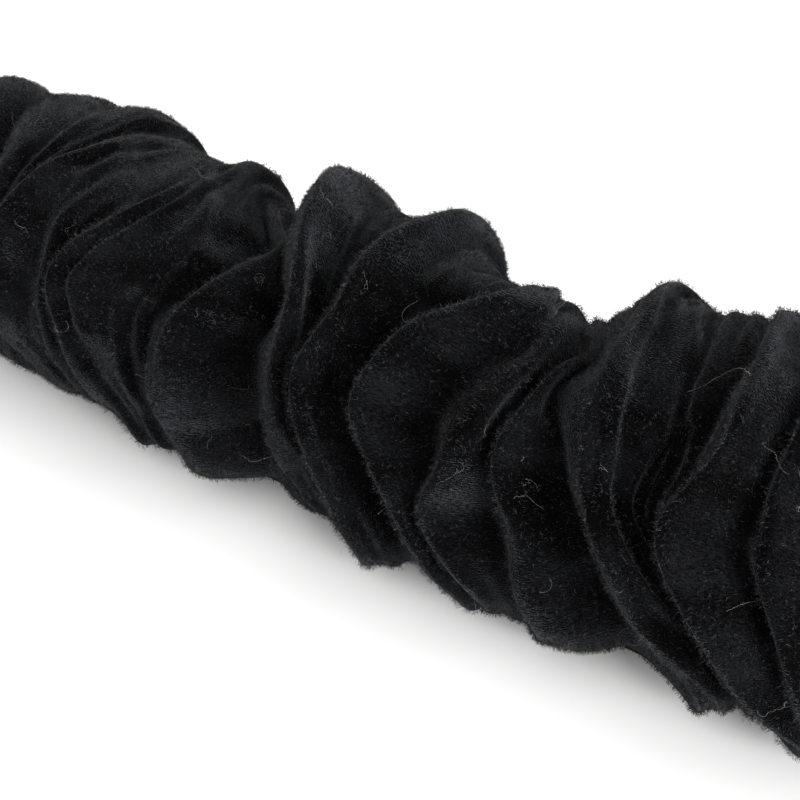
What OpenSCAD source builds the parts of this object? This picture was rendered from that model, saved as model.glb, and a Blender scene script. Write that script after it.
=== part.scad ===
// Soft ruched velvet headband with an elastic back, lying flat on a table.
// The gathered velvet front lies on top and the elastic back returns underneath it, so the loop
// is closed flat. X runs along the band, Y across it, Z is up, and the table is at Z = 0.
// The origin is the middle of the band's underside.

/* [Band] */
// Length of the relaxed band lying flat, over the folds of the elastic
band_l = 250; // [235:1:280]
// Height of the sewn ends' middle over the table
end_z = 16; // [14:0.5:18]

/* [Velvet sleeve] */
// Radius of the gathered sleeve over its tallest crests
sleeve_r = 25; // [22:0.5:28]
// How much of the soft sleeve flattens where it lies
sleeve_sag = 5; // [3:0.5:6]
// Distance along the band from one fold of the velvet to the next
fold_pitch = 15; // [13:0.5:17]
// Thickness of one puffed fold, where it overlaps its neighbours
fold_w = 17; // [16:0.5:20]
// How much lower the shallower crests are than the tallest ones
fold_drop = 2; // [0:0.25:3]
// Radius of the hollow that the folds leave inside
hollow_r = 15; // [12:0.5:16]

/* [Elastics] */
// Width of the woven elastic at the back
back_w = 20; // [15:1:25]
// Width of the elastic that gathers the velvet
front_w = 20; // [15:1:20]
// Thickness of both elastics
elastic_t = 1.5; // [1:0.1:1.8]

/* [End tabs] */
// Length of each velvet wrap over a sewn end
tab_l = 18; // [15:0.5:20]
// Width of each wrap
tab_w = 30; // [30:0.5:32]
// Height of each wrap
tab_h = 12; // [12:0.5:12.5]
// Thickness of the velvet in a wrap
tab_wall = 1.8; // [1.5:0.1:2]

/* [Threads] */
// Diameter of the stitching thread as sewn
stitch_d = 0.7; // [0.5:0.05:0.8]
// Length of one stitch
stitch_l = 2.4; // [2:0.1:3]
// Distance from one stitch to the next
stitch_pitch = 3.4; // [3.2:0.1:4]
// Diameter of the thread wound round the sleeve's gathered ends
gather_d = 0.8; // [0.5:0.05:0.9]

/* [Hidden] */
$fn = 64;

velvet_colour = [0.04, 0.04, 0.045];
elastic_colour = [0.10, 0.10, 0.11];
thread_colour = [0.16, 0.16, 0.18];
left = -1;
right = 1;
cut = 200;   // reach of a cutting box, larger than the band's section
gap = 0.3;   // room between soft pieces that only lie against each other

// The back elastic: it runs flat on the table and folds back into each sewn end.
back_upper_z = end_z - gap / 2 - elastic_t / 2;
bend_r = (back_upper_z - elastic_t / 2) / 2;
bend_x = band_l / 2 - bend_r - elastic_t / 2;
bend_z = bend_r + elastic_t / 2;

// The sewn ends: each tab stops just before the fold of the back elastic.
tab_out_x = bend_x - gap;
tab_in_x = tab_out_x - tab_l;
lap = tab_l / 5;                        // how far each elastic stays short of the tab's other mouth
tab_round = 4;
slot_round = 2;

// The velvet sleeve: puffed ring folds, lower and smaller next to the tabs.
sleeve_low_z = elastic_t + gap;         // its flat underside
sleeve_z = sleeve_low_z + sleeve_r - sleeve_sag;
fold_count = 2 * floor((tab_in_x - 20) / fold_pitch) + 1;
last_fold = (fold_count - 1) / 2;
core_r = sleeve_r - fold_drop - 3;      // the floor of the valleys between the folds
shoulder_r = sleeve_r - 6;              // the fold where the sleeve starts to close
shoulder_x = tab_in_x - fold_w * 0.7;
shoulder_z = (sleeve_z + end_z) / 2;
collar_r = tab_w / 2 - 2;               // the small fold against the tab
collar_w = 8;
collar_x = tab_in_x - gap - collar_w / 2;
neck_w = front_w + 2.4;                 // the gathered end that goes into the tab
neck_h = elastic_t + 3.9;
neck_out_x = tab_in_x + lap - gap;
slot_w = front_w + 1;                   // the way through the neck for the front elastic
slot_h = elastic_t + 1;
front_z = end_z + gap / 2 + elastic_t / 2;
gather_turns = 3;
seam_pitch = 4;
stitch_rows = 2;
stitches_in_row = 2 * floor((tab_w / 2 - tab_round) / stitch_pitch) + 1;

// Crest radius of fold number i: every other crest is a little lower.
function fold_r(i) = sleeve_r - fold_drop * (1 - cos(i * 180)) / 2;

// A flat outline of w by h with round corners, as circles and bars.
module round_bar(w, h, r) {
    square([w, h - 2 * r], center = true);
    square([w - 2 * r, h], center = true);
    for (y = [-1, 1], x = [-1, 1])
        translate([x * (w / 2 - r), y * (h / 2 - r)]) circle(r = r);
}

// Stands an outline drawn across the band, Y by Z, at x and gives it a length along X.
module along_band(x, length) {
    translate([x, 0, 0]) rotate([90, 0, 90]) linear_extrude(length) children();
}

// The round rim of one puffed fold of radius r and thickness w, as half of its section.
module fold_rim(x, r, w) {
    translate([r - w / 2, x]) circle(d = w);
}

// A whole fold on its own axis, for the ends of the sleeve. Its disc is thinner than its rim.
module fold_ring(x, z, r, w) {
    disc_w = 0.8 * w;
    disc_r = r - 0.3 * w;
    translate([0, 0, z]) rotate([0, 90, 0]) rotate_extrude() {
        translate([0, x - disc_w / 2]) square([disc_r, disc_w]);
        fold_rim(x, r, w);
    }
}

// The straight run of folds, as one revolved outline.
module fold_row() {
    translate([0, 0, sleeve_z]) rotate([0, 90, 0]) rotate_extrude() {
        reach = last_fold * fold_pitch;
        translate([0, -reach]) square([core_r, 2 * reach]);
        for (i = [-last_fold : last_fold]) fold_rim(i * fold_pitch, fold_r(i), fold_w);
    }
}

// The gathered end of the sleeve, closing onto the front elastic inside the tab.
module sleeve_end(side) {
    fold_ring(side * shoulder_x, shoulder_z, shoulder_r, fold_w);
    fold_ring(side * collar_x, end_z, collar_r, collar_w);
    start = side == right ? collar_x : -neck_out_x;
    translate([0, 0, end_z])
        along_band(start, neck_out_x - collar_x) round_bar(neck_w, neck_h, elastic_t);
}

module velvet_sleeve() {
    color(velvet_colour) difference() {
        union() {
            fold_row();
            sleeve_end(left);
            sleeve_end(right);
        }
        // flattened where it lies on the back elastic
        translate([-cut, -cut / 2, sleeve_low_z - cut]) cube([2 * cut, cut, cut]);
        // the hollow inside the folds, and the way out for the front elastic
        along_band(-shoulder_x, 2 * shoulder_x) translate([0, sleeve_z]) circle(r = hollow_r);
        translate([0, 0, front_z]) along_band(-cut, 2 * cut) square([slot_w, slot_h], center = true);
    }
}

// The lock stitch that closes the velvet into a tube, inside along the underside.
module sleeve_seam_thread() {
    count = 2 * floor((shoulder_x - seam_pitch) / seam_pitch) + 1;
    color(thread_colour)
        for (i = [0 : count - 1])
            translate([0, 0, sleeve_z - hollow_r])
                along_band((i - count / 2) * seam_pitch, stitch_l) circle(d = stitch_d);
}

// The flat elastic inside the sleeve. Its pull gathers the velvet.
module front_elastic() {
    reach = tab_out_x - lap;
    color(elastic_colour) translate([-reach, -front_w / 2, front_z - elastic_t / 2])
        cube([2 * reach, front_w, elastic_t]);
}

// One half turn of the back elastic, from the table up into the tab, as seen from the side.
module elastic_bend(side) {
    reach = bend_r + elastic_t / 2;
    translate([side * bend_x, bend_z]) intersection() {
        difference() {
            circle(r = reach);
            circle(r = bend_r - elastic_t / 2);
        }
        translate([side == right ? 0 : -reach, -reach]) square([reach, 2 * reach]);
    }
    upper_l = bend_x - tab_in_x - lap;
    translate([side == right ? bend_x - upper_l : -bend_x, back_upper_z - elastic_t / 2])
        square([upper_l, elastic_t]);
}

// The woven elastic that goes behind the head. Its underside is the face the band rests on.
module back_elastic() {
    color(elastic_colour)
        translate([0, back_w / 2, 0]) rotate([90, 0, 0]) linear_extrude(back_w) {
            translate([-bend_x, 0]) square([2 * bend_x, elastic_t]);
            elastic_bend(left);
            elastic_bend(right);
        }
}

// The strip of velvet wrapped round the join of sleeve and elastic.
module end_tab(side) {
    start = side == right ? tab_in_x : -tab_out_x;
    color(velvet_colour) translate([0, 0, end_z]) along_band(start, tab_l) difference() {
        round_bar(tab_w, tab_h, tab_round);
        round_bar(tab_w - 2 * tab_wall, tab_h - 2 * tab_wall, slot_round);
    }
}

// Rows of stitches across the top and the underside of a tab.
module end_stitches(side) {
    middle = side * (tab_in_x + tab_out_x) / 2;
    half = (stitches_in_row - 1) / 2;
    color(thread_colour)
        for (row = [-1 : 2 / (stitch_rows - 1) : 1], i = [-half : half], face = [-1, 1])
            translate([middle + row * tab_l / 3, i * stitch_pitch, end_z + face * tab_h / 2])
                rotate([90, 0, 0]) cylinder(h = stitch_l, d = stitch_d, center = true);
}

// Turns of thread that hold the sleeve's gathered neck closed, inside the tab.
module gather_thread(side) {
    inner_w = neck_w + 2 * gap;
    inner_h = neck_h + 2 * gap;
    turn_pitch = 1.25 * gather_d;
    color(thread_colour)
        for (turn = [1 : gather_turns])
            translate([0, 0, end_z])
                along_band(side * (neck_out_x - turn * turn_pitch) - gather_d / 2, gather_d)
                    difference() {
                        round_bar(inner_w + 2 * gather_d, inner_h + 2 * gather_d, slot_round);
                        round_bar(inner_w, inner_h, elastic_t);
                    }
}

module left_end_tab() { end_tab(left); }
module left_end_stitches() { end_stitches(left); }
module left_gather_thread() { gather_thread(left); }
module right_end_tab() { end_tab(right); }
module right_end_stitches() { end_stitches(right); }
module right_gather_thread() { gather_thread(right); }

velvet_sleeve();
sleeve_seam_thread();
front_elastic();
back_elastic();
left_end_tab();
left_end_stitches();
left_gather_thread();
right_end_tab();
right_end_stitches();
right_gather_thread();
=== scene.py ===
"""A soft ruched velvet headband lying flat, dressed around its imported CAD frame.

The velvet sleeve is laid out fold by fold and then settled by a short cloth simulation. The elastics, the
end wraps and the threads are built in mesh code from the boxes of their CAD nodes.
"""

import math

import bpy
import numpy as np
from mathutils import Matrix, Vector, noise


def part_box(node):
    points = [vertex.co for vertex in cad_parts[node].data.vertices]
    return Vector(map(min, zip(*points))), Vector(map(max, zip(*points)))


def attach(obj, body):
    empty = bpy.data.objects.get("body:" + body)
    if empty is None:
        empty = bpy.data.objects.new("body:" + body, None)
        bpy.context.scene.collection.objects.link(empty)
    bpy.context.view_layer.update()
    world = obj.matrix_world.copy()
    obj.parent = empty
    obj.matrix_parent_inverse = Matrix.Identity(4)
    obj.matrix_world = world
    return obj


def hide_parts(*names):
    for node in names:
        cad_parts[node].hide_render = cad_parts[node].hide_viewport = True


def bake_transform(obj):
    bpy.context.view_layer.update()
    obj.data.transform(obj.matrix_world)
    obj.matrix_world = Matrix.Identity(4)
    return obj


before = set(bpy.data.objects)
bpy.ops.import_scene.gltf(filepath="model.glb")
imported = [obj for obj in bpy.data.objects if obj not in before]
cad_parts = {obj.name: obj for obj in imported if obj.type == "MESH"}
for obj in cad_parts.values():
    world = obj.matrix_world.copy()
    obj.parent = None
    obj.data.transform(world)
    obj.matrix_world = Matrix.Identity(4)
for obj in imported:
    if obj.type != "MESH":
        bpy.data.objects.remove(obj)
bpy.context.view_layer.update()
MM = 0.001

# ---- places and sizes from the frame ----
_, SLEEVE_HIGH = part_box("velvet_sleeve")
BACK_LOW, BACK_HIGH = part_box("back_elastic")
FRONT_LOW, FRONT_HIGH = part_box("front_elastic")
TAB_LOW, TAB_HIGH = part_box("right_end_tab")
STITCH_LOW, STITCH_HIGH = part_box("right_end_stitches")
GATHER_LOW, GATHER_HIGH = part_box("right_gather_thread")
_, SEAM_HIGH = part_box("sleeve_seam_thread")
ELASTIC_T = FRONT_HIGH.z - FRONT_LOW.z
END_Z = (TAB_LOW.z + TAB_HIGH.z) / 2
TAB_MIDDLE_X = (TAB_LOW.x + TAB_HIGH.x) / 2
SIDES = {"left": -1, "right": 1}

# ---- camera ----
CAMERA_AT = (0.0974, -0.1226, 0.1323)
CAMERA_AZIMUTH = 34.4
CAMERA_ELEVATION = 37.3
CAMERA_LENS = 36
CAMERA_SENSOR = 24

# ---- the sleeve's folds, all in mm and degrees round the tube (0 back, 90 top, 180 front) ----
FOLD_ANGLES = (60, 95, 125, 150, 180, 215, 280, 350)
CREASE_ANGLES = (60, 100, 150, 250)
# each fold: where its crest runs along the band and how far it stands over the mean crest, both at
# FOLD_ANGLES, and how deep the crease before it is, at CREASE_ANGLES
FOLDS = (
    ((-93, -90, -88, -88, -90, -89, -89, -91), (-2, -3, -3, -3, -3, -4, -2, -2), (0.5, 0.6, 1, 1)),
    ((-82, -77, -73, -74, -78, -77, -76, -80), (4, 2, -1, 1, 0, -3.5, -1, 2), (0.7, 0.8, 1, 1)),
    ((-64, -60, -57, -60, -66, -68, -67, -66), (4, 3, 1, 0, -1, -3, -2, 3), (0.25, 0.7, 1, 1)),
    ((-48, -50, -54, -58, -61, -60, -57, -51), (6, 1, -2, -2, -2, -3, -1, 5), (0.1, 0.15, 0.2, 0.2)),
    ((-43, -45, -51, -55, -55, -52, -46, -44), (2, 2, 2, 1, 0, -2, -1, 2), (0.8, 1, 0.7, 0.8)),
    ((-36, -39, -41, -41, -43, -42, -38, -36), (0, -1, 1, 0, -1, -2, -1, 0), (0.1, 0.1, 0.35, 0.2)),
    ((-27, -26, -32, -38, -35, -31, -28, -27), (1, 0, 2, 3, 1, 0, 0, 1), (0.1, 0.2, 0.9, 0.9)),
    ((-24, -22, -24, -31, -29, -26, -24, -24), (2, -1, -1, 0, -1, -1, 0, 0), (0.1, 0.1, 0, 0)),
    ((-21, -18, -17, -23, -23, -20, -20, -21), (-1, -2, -2, -3, -3, -2, 0, -3), (0.1, 0.1, 0, 0)),
    ((-18, -6, -8, -15, -17, -14, -12, -16), (-4, -4, 0, 1, 1, 2, 0, -4), (0.3, 0.8, 0.7, 0.7)),
    ((-8, -1, 5, 7, 8, 8, 6, 1), (7, 5, 3, 2, 1, -2, 0, 3), (1.2, 1.3, 1.1, 1)),
    ((3, 6, 10, 9, 13, 16, 11, 8), (1.5, -3, -3, -3, -4, -2, -1, 1), (0.5, 0, 0, 0)),
    ((16, 12, 13, 10, 16, 21, 17, 17), (5.5, 3, 3, 4, 2, 4, 0, 4), (0.1, 1, 1.2, 1)),
    ((21, 21, 18, 15, 19, 27, 26, 22), (-2.5, -1, -5, -6, -6, -1, -2, -2), (0.8, 0.3, 0, 0.2)),
    ((33, 34, 22, 20, 28, 36, 36, 35), (-3, 3, 3, 4, 3, 2, 1, -1), (0.2, 0.7, 1.2, 1)),
    ((37, 42, 40, 35, 33, 42, 42, 40), (-7, 1, 1, 1, 1, 1, -1, -5), (0.3, 0.05, 0.9, 0.6)),
    ((41, 45, 43, 42, 46, 51, 49, 45), (-4, -4, 0, 0, 1, 2, -1, -3), (0.3, 0.9, 0.8, 0.8)),
    ((48, 49, 51, 54, 64, 74, 65, 54), (4, 2, 2, 2, 2, 0, 0, 2), (0.3, 0.9, 1, 1)),
    ((53, 56, 59, 59, 70, 79, 71, 60), (3, 0, -1, -2, -2, -3, -2, 0), (0.15, 0.5, 0, 0)),
    ((59, 62, 63, 61, 73, 82, 75, 66), (4, 1, -3, -6, -6, -5, -2, 1), (0.6, 0.4, 0, 0)),
    ((66, 68, 68.5, 64, 75, 87, 79, 71), (6, 4, 3, 4, 3, 0, 0, 3), (0.2, 0.6, 0.6, 0.8)),
    ((77, 75, 75, 77, 84, 90, 87, 81), (5, 3, 1, 0, 0, 0, 0, 2), (0.7, 0.9, 0.8, 0.9)),
    ((89, 88, 90, 90, 92, 95, 94, 91), (-2, -3, -4, -4, -4, -3, -2, -3), (0.8, 1, 1, 1)),
)
CREST_R = 23.0        # mean crest radius
CREASE = 9.0          # depth of a full crease
CREASE_GAP = 12.0     # folds this far apart have a full crease between them
CREASE_RANGE = (0.35, 1.15)   # least and most of a full crease
CREST_ROUND = 1.4     # how round the rising side of a fold is
RISE = 0.4            # share of the room between two crests that the rising side takes
RISE_WIDE = 0.25      # and how much more of it where they are far apart
RISE_RANGE = (1.5, 11)
LOBE = 1.4            # how round the falling side of a fold is
LOBE_GAP = 20.0       # crests this much further apart are one rounder
LOBE_RANGE = (1.2, 1.9)
CORNER_SOFT = 5       # degrees over which a crest line turns a corner
BACK_ANGLE = 345      # behind, neighbouring folds run together and differ in height
BACK_SPREAD = 45
BACK_SHIFT = 0.42     # share of the room between them
BACK_LIFT = -1.6
BACK_FLAT = 0.6
BACK_CREASE = 0.85    # share of a full crease behind, before it is flattened
BACK_PLACE_TURN = 2.4   # radians from fold to fold of the waves that make the back irregular
BACK_DEPTH_TURN = 1.7
UNDER_ANGLE = 255     # where the weight of the sleeve flattens its creases
UNDER_SPREAD = 35
UNDER_FLAT = 0.75
SAG_ANGLES = (240, 300)   # where the resting sleeve bulges out sideways
SAG_SPREAD = 24
SAG = 3.0
REST_Z = 1.8          # underside of the sleeve, on the back elastic
TABLE_Z = 0.5         # and beside it, on the table
BESIDE_STRAP = 5.0    # how far from the elastic's edge the velvet has come down to the table
SLEEVE_Z = 22.5       # height of the sleeve's axis
CLOSE_L = 17.0        # length over which each end gathers down to its neck
CLOSE_ROUND = 2.2     # how roundly it does so
END_R = 8.0           # radius of its last crease
PLEATS = 11           # pleats round each gathered end
PLEAT_DEPTH = 0.22
PLEAT_FADE = 0.8
AROUND = 60           # points round the sleeve
PER_SLOPE = 4         # rings on each side of a fold
# dents that cross the folds: from (x mm, degrees) to (x mm, degrees), depth mm, width mm
DENTS = (
    (-12, 200, 4, 209, 1.5, 2.0),
    (-8, 150, -4, 190, 1.0, 3.0),
    (20, 130, 30, 150, 1.2, 3.0),
    (44, 176, 58, 200, 1.2, 3.0),
    (24, 165, 28, 200, 1.2, 3.0),
    (-56, 150, -44, 175, 1.0, 2.5),
    (-72, 120, -66, 170, 1.0, 3.0),
    (66, 150, 74, 190, 1.0, 3.0),
)
DEGREE_MM = 0.4       # arc length of a degree on the sleeve
UNEVEN = ((7, 1.0), (3, 0.3))   # size and height of its soft unevenness, mm
CLOTH_T = 0.9 * MM    # velvet and its backing
NECK_Z = 16.2         # middle of the neck that goes into a tab, mm
NECK_HALF = (11.2, 2.5)       # half its width and height
NECK_X = TAB_LOW.x / MM - 0.3
NECK_STEPS = (0.34, 0.67, 1.0)

# ---- cloth simulation ----
SIM_SCALE = 10        # the solver settles faster on a larger model
SIM_FRAMES = 12
SIM_GROWTH = 0.025    # spare cloth that turns into small wrinkles
SIM_HOLD = 0.9        # how firmly the crests keep to their lines
CREASE_HOLD = 0.12    # and the creases between them, as a share of that
FLOOR_HIT = ((-0.16, -0.09, -0.03), (0.16, 0.09, 0))   # corners of the block it lies on, m
STRAP_HIT_X = 0.117   # half the length of the flat back elastic, m
STRAP_HIT_Z = -0.001  # the foot of its box, just inside the block
RELAX = 0.6           # how much of the smallest wrinkles is smoothed away after it


# ---------------------------------------------------------------- mesh helpers
def link(name, mesh):
    """A new object for a mesh, smooth shaded."""
    piece = bpy.data.objects.new(name, mesh)
    bpy.context.collection.objects.link(piece)
    mesh.shade_smooth()
    return piece


def grid_faces(rings, around, offset=0, close_rings=False):
    """Quads of a grid that is closed around, and along its rings too if asked."""
    faces = []
    for i in range(rings if close_rings else rings - 1):
        for j in range(around):
            a = i * around + j
            b = i * around + (j + 1) % around
            c = (i + 1) % rings * around + (j + 1) % around
            d = (i + 1) % rings * around + j
            faces.append((a + offset, b + offset, c + offset, d + offset))
    return faces


def cap_faces(rings, around, offset=0):
    """The two end faces of a tube."""
    first = tuple(offset + j for j in reversed(range(around)))
    last = tuple(offset + (rings - 1) * around + j for j in range(around))
    return [first, last]


def grid_mesh(name, points, close_rings=False, caps=False):
    """An object from points[ring, around]."""
    rings, around = points.shape[:2]
    faces = grid_faces(rings, around, 0, close_rings)
    if caps:
        faces += cap_faces(rings, around)
    mesh = bpy.data.meshes.new(name)
    mesh.from_pydata(points.reshape(-1, 3).tolist(), [], faces)
    mesh.update()
    return link(name, mesh)


def lay_uv(piece, points, close_rings=False):
    """A UV map named cloth, in metres along and round the fabric, for its weave."""
    rings, around = points.shape[:2]
    along = np.linalg.norm(np.diff(points, axis=0), axis=-1).mean(axis=1)
    along = np.concatenate([[0], np.cumsum(along)])
    if close_rings:
        step = np.linalg.norm(points[0] - points[-1], axis=-1).mean()
        along = np.concatenate([along, [along[-1] + step]])
    girth = np.linalg.norm(points - np.roll(points, 1, axis=1), axis=-1).sum(axis=1).mean()
    uv = piece.data.uv_layers.new(name="cloth")
    values = []
    for i in range(rings if close_rings else rings - 1):
        for j in range(around):
            low = girth * j / around
            high = girth * (j + 1) / around
            values += [along[i], low, along[i], high, along[i + 1], high, along[i + 1], low]
    caps = len(uv.data) * 2 - len(values)   # the end caps come last and are never seen
    uv.data.foreach_set("uv", values + [0.0] * caps)


def subdivide(piece, levels=1):
    """Catmull-Clark subdivision, applied."""
    change = piece.modifiers.new("subdivide", "SUBSURF")
    change.levels = levels
    change.render_levels = levels
    apply_modifiers(piece)


def apply_modifiers(piece):
    """Makes the modified mesh the piece's own mesh."""
    bpy.context.view_layer.update()
    shown = piece.evaluated_get(bpy.context.evaluated_depsgraph_get())
    mesh = bpy.data.meshes.new_from_object(shown)
    piece.modifiers.clear()
    old = piece.data
    piece.data = mesh
    bpy.data.meshes.remove(old)
    mesh.name = piece.name


def across_path(path):
    """Two unit vectors across each point of a path, without twist."""
    tangent = np.gradient(path, axis=0)
    tangent /= np.linalg.norm(tangent, axis=1, keepdims=True)
    start = np.array([0.0, 0.0, 1.0])
    if abs(tangent[0] @ start) > 0.9:
        start = np.array([0.0, 1.0, 0.0])
    first = []
    for t in tangent:
        start = start - t * (t @ start)
        start = start / np.linalg.norm(start)
        first.append(start)
    first = np.array(first)
    return first, np.cross(tangent, first)


def thread_mesh(name, paths, diameter, twist_pitch, sides=6):
    """Two-ply thread along each path: two strands wound round each other, as one object."""
    vertices, faces = [], []
    strand_r = diameter / 4
    angle = np.arange(sides) * 2 * math.pi / sides
    for path in paths:
        path = np.asarray(path, float)
        a, b = across_path(path)
        run = np.concatenate([[0], np.cumsum(np.linalg.norm(np.diff(path, axis=0), axis=1))])
        for ply in (0, math.pi):
            turn = run / twist_pitch * 2 * math.pi + ply
            lean = np.cos(turn)[:, None] * a + np.sin(turn)[:, None] * b
            middle = path + lean * strand_r
            ring = np.cos(angle)[None, :, None] * a[:, None] + np.sin(angle)[None, :, None] * b[:, None]
            points = middle[:, None] + ring * strand_r
            offset = len(vertices)
            vertices += points.reshape(-1, 3).tolist()
            faces += grid_faces(len(path), sides, offset)
            faces += cap_faces(len(path), sides, offset)
    mesh = bpy.data.meshes.new(name)
    mesh.from_pydata(vertices, [], faces)
    mesh.update()
    return link(name, mesh)


# ---------------------------------------------------------------- materials
def new_material(name):
    """A node material and its shader."""
    material = bpy.data.materials.new(name)
    material.use_nodes = True
    return material, material.node_tree, material.node_tree.nodes["Principled BSDF"]


def node(tree, kind, **inputs):
    """A node with its inputs set by name."""
    made = tree.nodes.new(kind)
    for key, value in inputs.items():
        made.inputs[key.replace("_", " ")].default_value = value
    return made


def cloth_vector(tree, stretch=(1, 1, 1)):
    """Fabric coordinates from the cloth UV map, in metres, scaled per axis."""
    source = tree.nodes.new("ShaderNodeUVMap")
    source.uv_map = "cloth"
    scaled = tree.nodes.new("ShaderNodeMapping")
    scaled.inputs["Scale"].default_value = stretch
    tree.links.new(source.outputs["UV"], scaled.inputs["Vector"])
    return scaled.outputs["Vector"]


def object_vector(tree):
    """Object coordinates, in metres."""
    return tree.nodes.new("ShaderNodeTexCoord").outputs["Object"]


def colour_ramp(tree, value, low, high, low_at=0.3, high_at=0.7):
    """Two colours along a value."""
    ramp = tree.nodes.new("ShaderNodeValToRGB")
    ramp.color_ramp.elements[0].position = low_at
    ramp.color_ramp.elements[0].color = (*low, 1)
    ramp.color_ramp.elements[1].position = high_at
    ramp.color_ramp.elements[1].color = (*high, 1)
    tree.links.new(value, ramp.inputs["Fac"])
    return ramp.outputs["Color"]


def product(tree, first, second):
    """Two values multiplied."""
    made = tree.nodes.new("ShaderNodeMath")
    made.operation = "MULTIPLY"
    tree.links.new(first, made.inputs[0])
    tree.links.new(second, made.inputs[1])
    return made.outputs[0]


def map_range(tree, value, low, high):
    """A 0 to 1 value turned into low to high."""
    made = tree.nodes.new("ShaderNodeMapRange")
    made.inputs["To Min"].default_value = low
    made.inputs["To Max"].default_value = high
    tree.links.new(value, made.inputs["Value"])
    return made.outputs["Result"]


def bump(tree, shader, height, strength, distance):
    """Bump from a height value."""
    made = tree.nodes.new("ShaderNodeBump")
    made.inputs["Strength"].default_value = strength
    made.inputs["Distance"].default_value = distance
    tree.links.new(height, made.inputs["Height"])
    tree.links.new(made.outputs["Normal"], shader.inputs["Normal"])


def velvet_material():
    """Black velvet: pile in short rows along the band, brushed patches and a grey grazing sheen."""
    rows_per_m = (2000, 4600, 1)
    patches_per_m = (90, 140, 1)
    deep = (0.0004, 0.0004, 0.0005)
    raised = (0.007, 0.0073, 0.0085)
    material, tree, shader = new_material("black_velvet")
    shader.inputs["Sheen Weight"].default_value = 0.17
    shader.inputs["Sheen Roughness"].default_value = 0.17
    shader.inputs["Sheen Tint"].default_value = (0.75, 0.78, 0.85, 1)
    shader.inputs["Specular IOR Level"].default_value = 0.03
    rows = node(tree, "ShaderNodeTexNoise", Scale=1.0, Detail=2.0, Roughness=0.6)
    tree.links.new(cloth_vector(tree, rows_per_m), rows.inputs["Vector"])
    brushed = node(tree, "ShaderNodeTexNoise", Scale=1.0, Detail=3.0, Roughness=0.55)
    tree.links.new(cloth_vector(tree, patches_per_m), brushed.inputs["Vector"])
    both = product(tree, rows.outputs["Fac"], brushed.outputs["Fac"])
    colour = colour_ramp(tree, both, deep, raised, 0.2, 0.38)
    tree.links.new(colour, shader.inputs["Base Color"])
    tree.links.new(map_range(tree, brushed.outputs["Fac"], 0.75, 1.0), shader.inputs["Roughness"])
    bump(tree, shader, rows.outputs["Fac"], 0.9, 0.0005)
    return material


def pile_material():
    """The fibres of the pile: near black, and some painted lighter as a faint glint."""
    black = (0.0005, 0.0005, 0.0006)
    painted_glint = (0.08, 0.083, 0.09)
    material, tree, shader = new_material("velvet_pile")
    shade = node(tree, "ShaderNodeTexNoise", Scale=1800.0, Detail=1.0)
    tree.links.new(object_vector(tree), shade.inputs["Vector"])
    # painted glint: random fibres get a lighter base colour that stands in for glinting tips
    colour = colour_ramp(tree, shade.outputs["Fac"], black, painted_glint, 0.5, 0.76)
    tree.links.new(colour, shader.inputs["Base Color"])
    shader.inputs["Roughness"].default_value = 0.4
    shader.inputs["Specular IOR Level"].default_value = 0.1
    return material


def elastic_material(name, rib_pitch):
    """Black woven elastic: lengthwise ribs crossed by fine picks."""
    dark = (0.003, 0.003, 0.0035)
    light = (0.016, 0.016, 0.0175)
    picks_per_m = (6000, 6000, 1)
    material, tree, shader = new_material(name)
    shader.inputs["Sheen Weight"].default_value = 0.04
    shader.inputs["Sheen Roughness"].default_value = 0.5
    shader.inputs["Specular IOR Level"].default_value = 0.12
    picks = tree.nodes.new("ShaderNodeTexWave")
    picks.bands_direction = "X"
    picks.inputs["Scale"].default_value = 0.05
    picks.inputs["Distortion"].default_value = 1.2
    picks.inputs["Detail"].default_value = 2.0
    tree.links.new(cloth_vector(tree, picks_per_m), picks.inputs["Vector"])
    wear = node(tree, "ShaderNodeTexNoise", Scale=300.0, Detail=4.0)
    tree.links.new(object_vector(tree), wear.inputs["Vector"])
    mixed = product(tree, picks.outputs["Fac"], wear.outputs["Fac"])
    colour = colour_ramp(tree, mixed, dark, light, 0.05, 0.6)
    tree.links.new(colour, shader.inputs["Base Color"])
    tree.links.new(map_range(tree, wear.outputs["Fac"], 0.55, 0.85), shader.inputs["Roughness"])
    bump(tree, shader, picks.outputs["Fac"], 0.6, rib_pitch * 0.12)
    return material


def thread_material():
    """Black polyester sewing thread, a little glossier than the velvet."""
    dark = (0.005, 0.005, 0.006)
    light = (0.025, 0.025, 0.028)
    material, tree, shader = new_material("sewing_thread")
    fibre = node(tree, "ShaderNodeTexNoise", Scale=2500.0, Detail=2.0)
    tree.links.new(object_vector(tree), fibre.inputs["Vector"])
    colour = colour_ramp(tree, fibre.outputs["Fac"], dark, light)
    tree.links.new(colour, shader.inputs["Base Color"])
    tree.links.new(map_range(tree, fibre.outputs["Fac"], 0.35, 0.6), shader.inputs["Roughness"])
    shader.inputs["Sheen Weight"].default_value = 0.1
    bump(tree, shader, fibre.outputs["Fac"], 0.4, 0.0001)
    return material


def lint_material():
    """Pale stray fibres caught in the pile."""
    grey = (0.1, 0.1, 0.1)
    pale = (0.4, 0.39, 0.375)
    material, tree, shader = new_material("lint")
    shade = node(tree, "ShaderNodeTexNoise", Scale=400.0)
    tree.links.new(object_vector(tree), shade.inputs["Vector"])
    colour = colour_ramp(tree, shade.outputs["Fac"], grey, pale)
    tree.links.new(colour, shader.inputs["Base Color"])
    shader.inputs["Roughness"].default_value = 0.6
    return material


def floor_material():
    """Plain matt white surface."""
    white = (0.86, 0.86, 0.855)
    whiter = (0.87, 0.87, 0.865)
    material, tree, shader = new_material("white_surface")
    shade = node(tree, "ShaderNodeTexNoise", Scale=3.0)
    tree.links.new(object_vector(tree), shade.inputs["Vector"])
    colour = colour_ramp(tree, shade.outputs["Fac"], white, whiter)
    tree.links.new(colour, shader.inputs["Base Color"])
    shader.inputs["Roughness"].default_value = 0.9
    shader.inputs["Specular IOR Level"].default_value = 0.1
    return material


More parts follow.
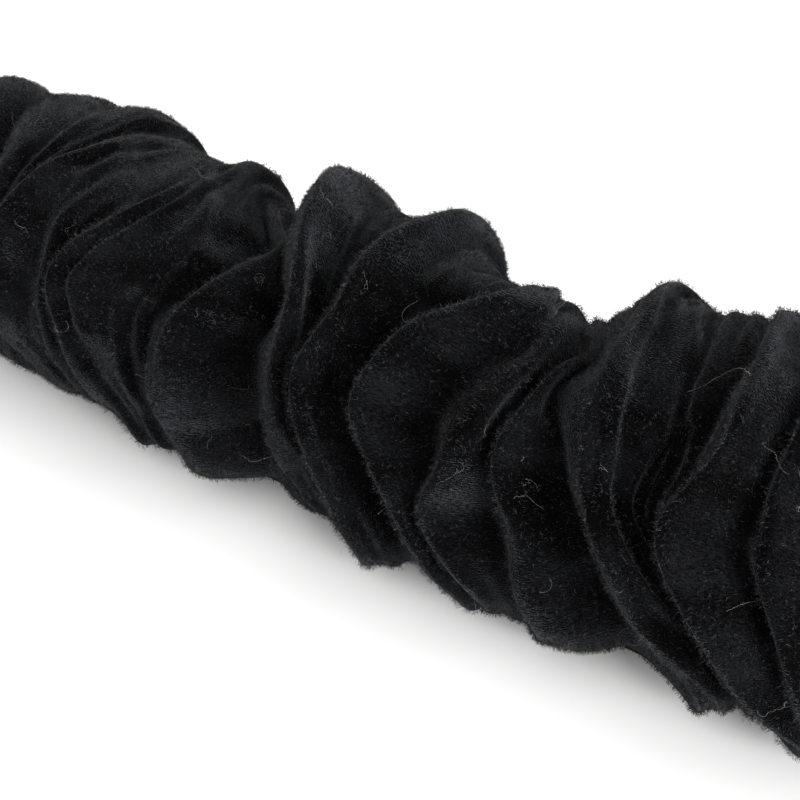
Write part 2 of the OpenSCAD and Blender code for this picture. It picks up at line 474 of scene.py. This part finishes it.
# ---------------------------------------------------------------- pile and lint
PILE_L = 0.42 * MM
PILE_ROOT_R = 0.05 * MM
PILE_TIP_R = 0.02 * MM
PILE_TUFT = 6             # fibres grown round each root
PILE_SPREAD = 1.2 * MM
LINT_L = 1.4 * MM
LINT_ROOT_R = 0.017 * MM
LINT_TIP_R = 0.012 * MM
LINT_CURL = 0.5 * MM
SLEEVE_PILE = 60000       # roots on the sleeve
TAB_PILE = 6000           # and on each tab
SLEEVE_LINT = 260
SLEEVE_PILE_SEED = 3
TAB_PILE_SEED = 20
LINT_SEED = 8


def grow_hair(piece, name, material, count, length, seed):
    """Hair on a piece's outer face, as a particle system."""
    piece.data.materials.append(material)
    piece.modifiers.new(name, "PARTICLE_SYSTEM")
    system = piece.particle_systems[-1]
    system.seed = seed
    system.vertex_group_density = "pile"
    hair = system.settings
    hair.name = name
    hair.type = "HAIR"
    hair.use_advanced_hair = True
    hair.count = count
    hair.hair_length = length
    hair.emit_from = "FACE"
    hair.use_modifier_stack = False
    hair.use_emit_random = True
    hair.use_even_distribution = True
    hair.material = len(piece.data.materials)
    hair.radius_scale = 1.0
    return hair


def pile(piece, material, count, seed):
    """The short upright pile of the velvet."""
    hair = grow_hair(piece, piece.name + "_pile", material, count, PILE_L, seed)
    hair.hair_step = 2
    hair.render_step = 2
    hair.factor_random = 0.00008
    hair.root_radius = PILE_ROOT_R
    hair.tip_radius = PILE_TIP_R
    hair.child_type = "SIMPLE"
    hair.rendered_child_count = PILE_TUFT
    hair.child_percent = 1
    hair.child_radius = PILE_SPREAD
    hair.roughness_endpoint = 0.0002
    hair.roughness_2 = 0.0001
    hair.child_length = 1.0


def lint(piece, material, count, seed):
    """A few stray curly fibres lying on the pile."""
    hair = grow_hair(piece, piece.name + "_lint", material, count, LINT_L, seed)
    hair.hair_step = 6
    hair.render_step = 6
    hair.factor_random = 0.0004
    hair.brownian_factor = 0.002
    hair.root_radius = LINT_ROOT_R
    hair.tip_radius = LINT_TIP_R
    hair.child_type = "SIMPLE"
    hair.rendered_child_count = 1
    hair.child_percent = 1
    hair.child_radius = 1.0 * MM
    hair.kink = "CURL"
    hair.kink_amplitude = LINT_CURL
    hair.kink_frequency = 1.5


# ---------------------------------------------------------------- the sleeve
def round_tube(angles, values, theta):
    """Values set at a few angles, straight between them, with each corner softened."""
    a = np.radians(np.concatenate([np.array(angles) - 360, angles, np.array(angles) + 360]))
    v = np.array(list(values) * 3, float)
    soft = np.radians(np.linspace(-CORNER_SOFT, CORNER_SOFT, 5))
    return np.mean([np.interp(theta + s, a, v) for s in soft], axis=0)


def fold_nodes(theta):
    """Crest and crease lines along the band, and their radii, as arrays [line, theta] in mm, and how
    round each fold's falling side is."""
    crest_x = np.array([round_tube(FOLD_ANGLES, fold[0], theta) for fold in FOLDS])
    height = np.array([round_tube(FOLD_ANGLES, fold[1], theta) for fold in FOLDS])
    back = np.degrees(theta) - BACK_ANGLE
    back = np.exp(-(((back + 180) % 360 - 180) / BACK_SPREAD) ** 2)
    room = np.minimum(np.diff(crest_x, axis=0)[:-1], np.diff(crest_x, axis=0)[1:])
    turn = np.sin(BACK_PLACE_TURN * np.arange(1, len(FOLDS) - 1))[:, None]
    crest_x[1:-1] += BACK_SHIFT * room * turn * back
    height[1:-1] += BACK_LIFT * turn * back
    end = np.full(len(theta), NECK_X)
    end_r = np.full(len(theta), END_R)
    x, r, lobe = [-end], [end_r], [np.full(len(theta), CREST_ROUND)]
    for i in range(len(FOLDS)):
        x.append(crest_x[i])
        r.append(CREST_R + height[i])
        if i + 1 < len(FOLDS):
            gap = crest_x[i + 1] - crest_x[i]
            wide = gap - CREASE_GAP
            depth = np.clip(gap / CREASE_GAP, *CREASE_RANGE)
            share = round_tube(CREASE_ANGLES, FOLDS[i + 1][2], theta)
            depth = depth * (share + np.maximum(BACK_CREASE - share, 0) * back)
            under = np.exp(-((np.degrees(theta) - UNDER_ANGLE) / UNDER_SPREAD) ** 2)
            depth = depth * (1 - UNDER_FLAT * under)
            depth = depth * (1 - BACK_FLAT * back * (1 + math.sin(BACK_DEPTH_TURN * i)) / 2)
            x.append(crest_x[i + 1] - np.clip(RISE * gap + RISE_WIDE * np.maximum(wide, 0), *RISE_RANGE))
            r.append(CREST_R + (height[i] + height[i + 1]) / 2 - CREASE * depth)
            lobe.append(np.clip(LOBE + wide / LOBE_GAP, *LOBE_RANGE))
    x.append(end)
    r.append(end_r)
    lobe.append(np.full(len(theta), CREST_ROUND))
    return np.array(x), np.array(r), lobe


def dents(x, theta):
    """How far each point of the sleeve is pressed in, in mm: the dents and a slow unevenness."""
    degrees = np.degrees(theta)
    pressed = np.zeros(x.shape)
    for x0, angle0, x1, angle1, depth, width in DENTS:
        a = np.array([x0, angle0 * DEGREE_MM])
        way = np.array([x1, angle1 * DEGREE_MM]) - a
        at = np.stack([x, np.broadcast_to(degrees * DEGREE_MM, x.shape)], axis=-1) - a
        t = np.clip(at @ way / (way @ way), 0, 1)
        off = np.linalg.norm(at - t[..., None] * way, axis=-1)
        pressed += depth * np.exp(-(off / width) ** 2)
    for size, amount in UNEVEN:
        shift = Vector((size, 2, 5))
        for i, j in np.ndindex(x.shape):
            across = math.cos(theta[j]) * CREST_R / size / 2
            up = math.sin(theta[j]) * CREST_R / size / 2
            pressed[i, j] += amount * noise.noise(Vector((x[i, j] / size, across, up)) + shift)
    return pressed


def sleeve_rings():
    """Rings of points of the gathered sleeve, before its cloth is settled, in mm."""
    theta = np.arange(AROUND) * 2 * math.pi / AROUND
    node_x, node_r, lobe = fold_nodes(theta)
    x, r = [], []
    for k in range(len(node_x) - 1):
        from_crest = k % 2 == 1
        for i in range(PER_SLOPE):
            t = i / PER_SLOPE
            ease = t ** lobe[(k + 1) // 2] if from_crest else 1 - (1 - t) ** CREST_ROUND
            x.append(node_x[k] + (node_x[k + 1] - node_x[k]) * t)
            r.append(node_r[k] + (node_r[k + 1] - node_r[k]) * ease)
    x = np.array(x + [node_x[-1]])
    r = np.array(r + [node_r[-1]])
    r = r - dents(x, theta)
    for angle in SAG_ANGLES:
        r = r + SAG * np.exp(-((np.degrees(theta) - angle) / SAG_SPREAD) ** 2)
    far = np.clip((NECK_X - np.abs(x)) / CLOSE_L, 0, 1)
    open_share = np.sqrt(1 - (1 - far) ** CLOSE_ROUND)
    neck_share = 1 - open_share
    pleat = 1 + PLEAT_DEPTH * np.cos(PLEATS * theta) * neck_share ** PLEAT_FADE
    across = np.cos(theta) * (r * open_share + NECK_HALF[0] * neck_share) * pleat
    up = np.sin(theta) * (r * open_share + NECK_HALF[1] * neck_share) * pleat
    z = SLEEVE_Z * open_share + NECK_Z * neck_share + up
    return lie_down(np.stack([x, across, z], axis=-1))


def lie_down(rings):
    """Keeps the sleeve's underside on the back elastic and, beside it, on the table."""
    beside = np.clip((np.abs(rings[..., 1]) - BACK_HIGH.y / MM) / BESIDE_STRAP, 0, 1)
    rest_z = REST_Z + (TABLE_Z - REST_Z) * beside
    return np.concatenate([rings[..., :2], np.maximum(rings[..., 2], rest_z)[..., None]], axis=-1)


def add_necks(rings):
    """The straight gathered necks that run on into the end tabs."""
    reach = SLEEVE_HIGH.x / MM - NECK_X
    ends = []
    for side, ring in ((-1, rings[0]), (1, rings[-1])):
        steps = [ring + np.array([side * reach * t, 0, 0]) for t in NECK_STEPS]
        ends.append(steps)
    return np.concatenate([np.array(ends[0][::-1]), rings, np.array(ends[1])])


def hit_box(name, low, high):
    """A box that the cloth rests on, from corners in metres."""
    mesh = bpy.data.meshes.new(name)
    ends = [(a * SIM_SCALE, b * SIM_SCALE) for a, b in zip(low, high)]
    corners = [(x, y, z) for x in ends[0] for y in ends[1] for z in ends[2]]
    faces = [(0, 1, 3, 2), (4, 6, 7, 5), (0, 4, 5, 1), (2, 3, 7, 6), (0, 2, 6, 4), (1, 5, 7, 3)]
    mesh.from_pydata(corners, [], faces)
    box = bpy.data.objects.new(name, mesh)
    bpy.context.collection.objects.link(box)
    box.modifiers.new("hit", "COLLISION")
    box.collision.thickness_outer = 0.01
    box.collision.cloth_friction = 5
    return box


def cloth_settings(cloth):
    """Soft, well damped velvet that keeps most of its folds."""
    s = cloth.settings
    s.quality = 5
    s.mass = 0.3
    s.air_damping = 5
    s.tension_stiffness = 20
    s.compression_stiffness = 20
    s.shear_stiffness = 10
    s.bending_stiffness = 90
    s.tension_damping = 20
    s.compression_damping = 20
    s.shear_damping = 20
    s.bending_damping = 5
    s.use_pressure = True
    s.uniform_pressure_force = 0.01
    s.vertex_group_mass = "hold"
    s.pin_stiffness = 15
    s.shrink_min = -SIM_GROWTH
    s.shrink_max = -SIM_GROWTH
    s.effector_weights.gravity = 0.1
    c = cloth.collision_settings
    c.use_collision = True
    c.distance_min = 0.008
    c.collision_quality = 2
    c.use_self_collision = True
    c.self_distance_min = 0.011
    c.self_friction = 8


def settle(rings):
    """Runs the cloth solver on the sleeve's rings, in mm, and returns where they come to."""
    scale = MM * SIM_SCALE
    piece = grid_mesh("sleeve_cloth", rings * scale)
    count = len(rings)
    hold = piece.vertex_groups.new(name="hold")
    for i in range(count):
        slope = abs((i % (2 * PER_SLOPE)) / PER_SLOPE - 1)
        weight = SIM_HOLD * (CREASE_HOLD + (1 - CREASE_HOLD) * (1 - slope) ** 2)
        if i < 2 or i >= count - 2:
            weight = 1.0
        hold.add(list(range(i * AROUND, (i + 1) * AROUND)), weight, "REPLACE")
    cloth = piece.modifiers.new("cloth", "CLOTH")
    cloth_settings(cloth)
    floor = hit_box("floor_hit", *FLOOR_HIT)
    strap_low = (-STRAP_HIT_X, BACK_LOW.y, STRAP_HIT_Z)
    strap_high = (STRAP_HIT_X, BACK_HIGH.y, ELASTIC_T)
    strap = hit_box("strap_hit", strap_low, strap_high)
    scene = bpy.context.scene
    scene.frame_start = 1
    scene.frame_end = SIM_FRAMES + 1
    cloth.point_cache.frame_start = 1
    cloth.point_cache.frame_end = SIM_FRAMES + 1
    for step in range(1, SIM_FRAMES + 1):
        scene.frame_set(step)
    shown = piece.evaluated_get(bpy.context.evaluated_depsgraph_get())
    settled = np.empty(count * AROUND * 3)
    shown.to_mesh().vertices.foreach_get("co", settled)
    for thing in (piece, floor, strap):
        bpy.data.objects.remove(thing, do_unlink=True)
    scene.frame_set(1)
    return settled.reshape(count, AROUND, 3) / scale


def relax(rings):
    """Evens out the smallest wrinkles, leaving the two end rings."""
    around = (np.roll(rings, 1, axis=1) + np.roll(rings, -1, axis=1)) / 2
    along = (rings[:-2] + rings[2:]) / 2
    middle = (around[1:-1] + along) / 2
    rings = rings.copy()
    rings[1:-1] += RELAX * (middle - rings[1:-1])
    return rings


def thicken(piece, thickness):
    """Gives a sheet its thickness, inward. The outer face keeps its points in a group named pile."""
    outer = len(piece.data.vertices)
    change = piece.modifiers.new("thicken", "SOLIDIFY")
    change.thickness = thickness
    change.offset = -1
    change.use_rim = True
    apply_modifiers(piece)
    group = piece.vertex_groups.get("pile") or piece.vertex_groups.new(name="pile")
    group.add(list(range(outer)), 1.0, "REPLACE")


def velvet_sleeve(velvet, fibre):
    """The ruched tube of velvet. Returns its grid of points, for the seam."""
    rings = sleeve_rings()
    rings = settle(rings)
    rings = add_necks(lie_down(relax(rings)))
    points = rings * MM
    piece = grid_mesh("velvet_sleeve_cloth", points)
    lay_uv(piece, points)
    piece.data.materials.append(velvet)
    subdivide(piece)
    thicken(piece, CLOTH_T)
    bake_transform(piece)
    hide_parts("velvet_sleeve")
    pile(piece, fibre, SLEEVE_PILE, SLEEVE_PILE_SEED)
    lint(piece, lint_material(), SLEEVE_LINT, LINT_SEED)
    return points


# ---------------------------------------------------------------- the elastics
RIB_PITCH = 1.25 * MM
POINTS_PER_RIB = 4
RIB_DEPTH = 0.18        # share of the half thickness
EDGE_SQUARE = 14        # how square the selvedges are
FLAT_POINTS = 160       # points along the flat run, round each end and along each lap
TURN_POINTS = 17
LAP_POINTS = 10
FRONT_POINTS = 120
LAP_SHARE = 0.2         # share of a tab's length that the elastic stops short of its inner mouth


def webbing_profile(width, thickness):
    """Closed outline across a ribbed strip: (across, up) pairs."""
    ribs = round(width / RIB_PITCH)
    u = np.linspace(-1, 1, ribs * POINTS_PER_RIB + 1)
    selvedge = np.sqrt(np.clip(1 - np.abs(u) ** EDGE_SQUARE, 0, 1))
    rib = 1 - RIB_DEPTH * (0.5 + 0.5 * np.cos(math.pi * ribs * (u + 1)))
    half = thickness / 2 * selvedge * rib
    top = np.stack([u * width / 2, half], axis=1)
    low = np.stack([u * width / 2, -half], axis=1)[::-1][1:-1]
    return np.concatenate([top, low])


def webbing(name, path, width, thickness, material):
    """A strip of ribbed elastic along a path of (x, z) points, flat across Y."""
    path = np.array(path, float)
    tangent = np.gradient(path, axis=0)
    tangent /= np.linalg.norm(tangent, axis=1, keepdims=True)
    normal = np.stack([-tangent[:, 1], tangent[:, 0]], axis=1)
    outline = webbing_profile(width, thickness)
    x = path[:, None, 0] + normal[:, None, 0] * outline[None, :, 1]
    z = path[:, None, 1] + normal[:, None, 1] * outline[None, :, 1]
    y = np.broadcast_to(outline[None, :, 0], x.shape)
    points = np.stack([x, y, z], axis=-1)
    piece = grid_mesh(name, points, caps=True)
    lay_uv(piece, points)
    piece.data.materials.append(material)
    return piece


def back_path():
    """Side view of the back elastic: flat on the table, folded back up into each tab."""
    low_z = BACK_LOW.z + ELASTIC_T / 2
    high_z = BACK_HIGH.z - ELASTIC_T / 2
    bend_r = (high_z - low_z) / 2
    bend_x = BACK_HIGH.x - ELASTIC_T / 2 - bend_r
    inner_x = TAB_LOW.x + (TAB_HIGH.x - TAB_LOW.x) * LAP_SHARE
    flat = [(x, low_z) for x in np.linspace(-bend_x, bend_x, FLAT_POINTS)]
    turn = np.linspace(-math.pi / 2, math.pi / 2, TURN_POINTS)[1:]
    right = [(bend_x + bend_r * math.cos(a), low_z + bend_r + bend_r * math.sin(a)) for a in turn]
    right += [(x, high_z) for x in np.linspace(bend_x, inner_x, LAP_POINTS)[1:]]
    left = [(-x, z) for x, z in reversed(right)]
    return left + flat + right


def elastics():
    """The back elastic and the one inside the sleeve."""
    material = elastic_material("woven_elastic", RIB_PITCH)
    back_w = BACK_HIGH.y - BACK_LOW.y
    back = webbing("back_elastic_webbing", back_path(), back_w, ELASTIC_T, material)
    front_z = (FRONT_LOW.z + FRONT_HIGH.z) / 2
    front_path = [(x, front_z) for x in np.linspace(FRONT_LOW.x, FRONT_HIGH.x, FRONT_POINTS)]
    front_w = FRONT_HIGH.y - FRONT_LOW.y
    front = webbing("front_elastic_webbing", front_path, front_w, ELASTIC_T, material)
    for piece, cad_node in ((back, "back_elastic"), (front, "front_elastic")):
        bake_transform(piece)
        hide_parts(cad_node)
    back_l = path_length(back_path())


def path_length(path):
    """Length of a path of points."""
    return float(np.linalg.norm(np.diff(np.array(path), axis=0), axis=1).sum())


# ---------------------------------------------------------------- the end tabs
TAB_ROUND = 4 * MM
TAB_WALL = 1.8 * MM
TAB_AROUND = 120
TAB_ALONG = 26
LAP_STEP = 0.9 * MM       # the wrap's end lies this much over its start
HEM_SWELL = 0.5 * MM      # how far each hem stands up, and over what length
HEM_L = 1.6 * MM
DIMPLE = 0.7 * MM         # how deep each stitch pulls the velvet in, and how widely
DIMPLE_R = 1.5 * MM
RIPPLE = 0.10 * MM        # height of the four sets of waves that make a tab uneven
RIPPLE_WAVES = (5, 9, 13, 17)   # how many of each go round it
RIPPLE_DRIFT = 0.2        # radians per mm by which the sets shift against each other along it
RIPPLE_SEEDS = {"left": 12, "right": 11}
STITCH_D = 0.7 * MM
STITCH_L = 2.4 * MM
STITCH_PITCH = 3.4 * MM
STITCH_COLUMNS = 7
STITCH_ROWS = (-1, 1)
ROW_X = (STITCH_HIGH.x - STITCH_LOW.x - STITCH_D) / 2
STITCH_RISE = 0.15 * MM   # how far a stitch stands over the tab
STITCH_DIVE = 0.75 * MM   # and how far its ends go down into it
STITCH_SQUARE = 3.5       # how squarely they turn down
STITCH_LEAN = 0.12 * MM
STITCH_POINTS = 15
THREAD_TWIST = 1.3 * MM   # length of one turn of the two strands
GATHER_D = 0.8 * MM
GATHER_TURNS = 3
GATHER_TWIST = 2.4 * MM
GATHER_ROUND = 2 * MM     # corner of each turn
GATHER_POINTS = 96        # and points round it


def rounded_outline(width, height, corner, count):
    """Points and outward normals round a rounded rectangle in the Y-Z plane, starting under it."""
    flat_w = width - 2 * corner
    flat_h = height - 2 * corner
    arc = corner * math.pi / 2
    lengths = [flat_w / 2, arc, flat_h, arc, flat_w, arc, flat_h, arc, flat_w / 2]
    total = sum(lengths)
    points, normals = [], []
    for i in range(count):
        s = total * i / count
        for k, length in enumerate(lengths):
            if s <= length or k == len(lengths) - 1:
                break
            s -= length
        quarter = k // 2
        if k % 2:
            turn = (-90 + 90 * quarter) * math.pi / 180 + s / corner
            centre = ((flat_w / 2, -flat_h / 2), (flat_w / 2, flat_h / 2),
                      (-flat_w / 2, flat_h / 2), (-flat_w / 2, -flat_h / 2))[quarter]
            n = (math.cos(turn), math.sin(turn))
            p = (centre[0] + corner * n[0], centre[1] + corner * n[1])
        elif k == 0:
            p, n = (s, -height / 2), (0, -1)
        elif k == 2:
            p, n = (width / 2, -flat_h / 2 + s), (1, 0)
        elif k == 4:
            p, n = (flat_w / 2 - s, height / 2), (0, 1)
        elif k == 6:
            p, n = (-width / 2, flat_h / 2 - s), (-1, 0)
        else:
            p, n = (-flat_w / 2 + s, -height / 2), (0, -1)
        points.append(p)
        normals.append(n)
    return np.array(points), np.array(normals)


def stitch_centres():
    """Where each stitch of a tab is: (x from the tab's middle, y, which face)."""
    half = (STITCH_COLUMNS - 1) // 2
    return [
        (row * ROW_X, i * STITCH_PITCH, face)
        for row in STITCH_ROWS
        for i in range(-half, half + 1)
        for face in (-1, 1)
    ]


def tab_relief(x, half_l, outline, ripple_phase):
    """How far a tab's outer face stands off its plain outline at x: lap, hem, dimples and ripples."""
    share = np.arange(TAB_AROUND) / TAB_AROUND
    lap = LAP_STEP * (share - 0.5)
    hem = HEM_SWELL * math.exp(-((half_l - abs(x)) / HEM_L) ** 2)
    lift = lap + hem
    for sx, sy, face in stitch_centres():
        near = (np.sign(outline[:, 1]) == face)
        gap = ((x - sx) / DIMPLE_R) ** 2 + ((outline[:, 0] - sy) / DIMPLE_R) ** 2
        lift = lift - DIMPLE * near * np.exp(-gap)
    for k, (waves, phase) in enumerate(zip(RIPPLE_WAVES, ripple_phase)):
        drift = x / MM * RIPPLE_DRIFT * (k - 1.5)
        lift = lift + RIPPLE * np.sin(waves * math.tau * share + phase + drift)
    return lift


def end_tab(side_name, velvet, fibre):
    """The strip of velvet wrapped round a sewn end, with a lap underneath and dimpled stitching."""
    side = SIDES[side_name]
    width = TAB_HIGH.y - TAB_LOW.y
    height = TAB_HIGH.z - TAB_LOW.z
    half_l = (TAB_HIGH.x - TAB_LOW.x) / 2
    outline, normal = rounded_outline(width, height, TAB_ROUND, TAB_AROUND)
    rng = np.random.default_rng(RIPPLE_SEEDS[side_name])
    ripple_phase = rng.uniform(0, math.tau, len(RIPPLE_WAVES))
    rings = []
    across = np.linspace(-1, 1, TAB_ALONG)
    for outside, sweep in ((True, across), (False, across[::-1])):
        for t in sweep:
            rim = TAB_WALL / 2 if abs(t) == 1 else 0   # set back to round each mouth
            x = t * (half_l - rim)
            if outside:
                lift = tab_relief(x, half_l, outline, ripple_phase)
            else:
                lift = np.full(TAB_AROUND, -TAB_WALL)
            place = outline + normal * lift[:, None]
            rings.append([(side * TAB_MIDDLE_X + x, y, END_Z + z) for y, z in place])
    points = np.array(rings)
    piece = grid_mesh(side_name + "_end_tab_wrap", points, close_rings=True)
    lay_uv(piece, points, close_rings=True)
    piece.data.materials.append(velvet)
    outer = piece.vertex_groups.new(name="pile")
    outer.add(list(range(TAB_ALONG * TAB_AROUND)), 1.0, "REPLACE")
    subdivide(piece)
    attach(piece, side_name + "_end")
    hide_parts(side_name + "_end_tab")
    pile(piece, fibre, TAB_PILE, TAB_PILE_SEED + side)


def end_stitches(side_name, thread):
    """The stitches of one tab: each comes up, lies along the row and goes down."""
    side = SIDES[side_name]
    half_h = (TAB_HIGH.z - TAB_LOW.z) / 2
    paths = []
    for sx, sy, face in stitch_centres():
        t = np.linspace(-1, 1, STITCH_POINTS)
        y = sy + t * STITCH_L / 2
        rise = STITCH_RISE - STITCH_DIVE * np.abs(t) ** STITCH_SQUARE
        x = side * TAB_MIDDLE_X + sx + STITCH_LEAN * t
        paths.append(np.stack([x, y, END_Z + face * (half_h + rise)], axis=1))
    piece = thread_mesh(side_name + "_end_thread", paths, STITCH_D, THREAD_TWIST)
    piece.data.materials.append(thread)
    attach(piece, side_name + "_end")
    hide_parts(side_name + "_end_stitches")


def gather_thread(side_name, thread):
    """Thread wound three times round the sleeve's neck, inside the tab."""
    side = SIDES[side_name]
    width = GATHER_HIGH.y - GATHER_LOW.y - GATHER_D
    height = GATHER_HIGH.z - GATHER_LOW.z - GATHER_D
    outline, _ = rounded_outline(width, height, GATHER_ROUND, GATHER_POINTS)
    first = GATHER_LOW.x + GATHER_D / 2
    last = GATHER_HIGH.x - GATHER_D / 2
    count = GATHER_TURNS * GATHER_POINTS
    path = []
    for i in range(count):
        y, z = outline[i % GATHER_POINTS]
        path.append((side * (first + (last - first) * i / (count - 1)), y, END_Z + z))
    piece = thread_mesh(side_name + "_neck_thread", [path], GATHER_D, GATHER_TWIST)
    piece.data.materials.append(thread)
    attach(piece, side_name + "_end")
    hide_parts(side_name + "_gather_thread")


SEAM_PITCH = 4 * MM
SEAM_L = 2.6 * MM
SEAM_ANGLE = 270        # the middle of the underside
SEAM_POINTS = 9
SEAM_GAP = 0.4 * MM     # from the cloth's inner face to the middle of the thread


def seam_thread(points, thread):
    """The lock stitch that closes the velvet into a tube, inside along the underside."""
    column = round(SEAM_ANGLE / 360 * AROUND)
    line = points[:, column].copy()
    keep = np.abs(line[:, 0]) < SEAM_HIGH.x
    line = line[keep]
    line[:, 2] += CLOTH_T + SEAM_GAP
    run = np.concatenate([[0], np.cumsum(np.linalg.norm(np.diff(line, axis=0), axis=1))])
    paths = []
    for start in np.arange(0, run[-1] - SEAM_L, SEAM_PITCH):
        at = start + np.linspace(0, SEAM_L, SEAM_POINTS)
        paths.append(np.stack([np.interp(at, run, line[:, k]) for k in range(3)], axis=1))
    piece = thread_mesh("sleeve_seam_stitching", paths, STITCH_D, THREAD_TWIST)
    piece.data.materials.append(thread)
    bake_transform(piece)
    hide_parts("sleeve_seam_thread")


# ---------------------------------------------------------------- stage, light and camera
FLOOR_HALF = 3.0
FLOOR_Z = -0.2 * MM     # just under the back elastic's face, so the two don't flicker
WORLD_LIGHT = 1.15
SLEEVE_MIDDLE = (0, 0, 0.02)
NEAR_END = (0.03, 0, 0.02)
# name, where it stands, where it points, size of the soft box in m, power in W
LIGHTS = (
    ("key_light", (-0.1, 0.2, 0.8), SLEEVE_MIDDLE, 0.6, 1.5),
    ("side_light", (0.6, -0.2, 0.18), NEAR_END, 0.3, 6.2),
    ("rim_light", (-0.45, 0.45, 0.3), SLEEVE_MIDDLE, 0.3, 4.0),
)


def floor():
    """A plain white surface."""
    mesh = bpy.data.meshes.new("floor")
    corners = [(x * FLOOR_HALF, y * FLOOR_HALF, 0) for x, y in ((-1, -1), (1, -1), (1, 1), (-1, 1))]
    mesh.from_pydata(corners, [], [(0, 1, 2, 3)])
    piece = link("floor", mesh)
    piece.location.z = FLOOR_Z
    mesh.materials.append(floor_material())


def area_light(name, at, towards, size, power):
    """A square white soft box that faces a point."""
    data = bpy.data.lights.new(name, "AREA")
    data.energy = power
    data.size = size
    lamp = bpy.data.objects.new(name, data)
    lamp.location = at
    lamp.rotation_euler = (Vector(towards) - Vector(at)).to_track_quat("-Z", "Y").to_euler()
    bpy.context.collection.objects.link(lamp)


def studio():
    """White surroundings and three soft boxes."""
    world = bpy.data.worlds.new("studio")
    world.use_nodes = True
    background = world.node_tree.nodes["Background"]
    background.inputs["Color"].default_value = (1, 1, 1, 1)
    background.inputs["Strength"].default_value = WORLD_LIGHT
    bpy.context.scene.world = world
    bpy.context.scene.view_settings.view_transform = "Standard"
    for light in LIGHTS:
        area_light(*light)


def camera():
    """The camera, close over the near end of the band."""
    data = bpy.data.cameras.new("camera")
    data.lens = CAMERA_LENS
    data.sensor_width = CAMERA_SENSOR
    data.clip_start = 0.005
    eye = bpy.data.objects.new("camera", data)
    eye.location = CAMERA_AT
    eye.rotation_euler = (math.radians(90 - CAMERA_ELEVATION), 0, math.radians(CAMERA_AZIMUTH))
    bpy.context.collection.objects.link(eye)
    bpy.context.scene.camera = eye


def build():
    """Everything, in order."""
    camera()
    studio()
    floor()
    velvet = velvet_material()
    fibre = pile_material()
    thread = thread_material()
    elastics()
    points = velvet_sleeve(velvet, fibre)
    for side_name in SIDES:
        end_tab(side_name, velvet, fibre)
        end_stitches(side_name, thread)
        gather_thread(side_name, thread)
    seam_thread(points, thread)


build()
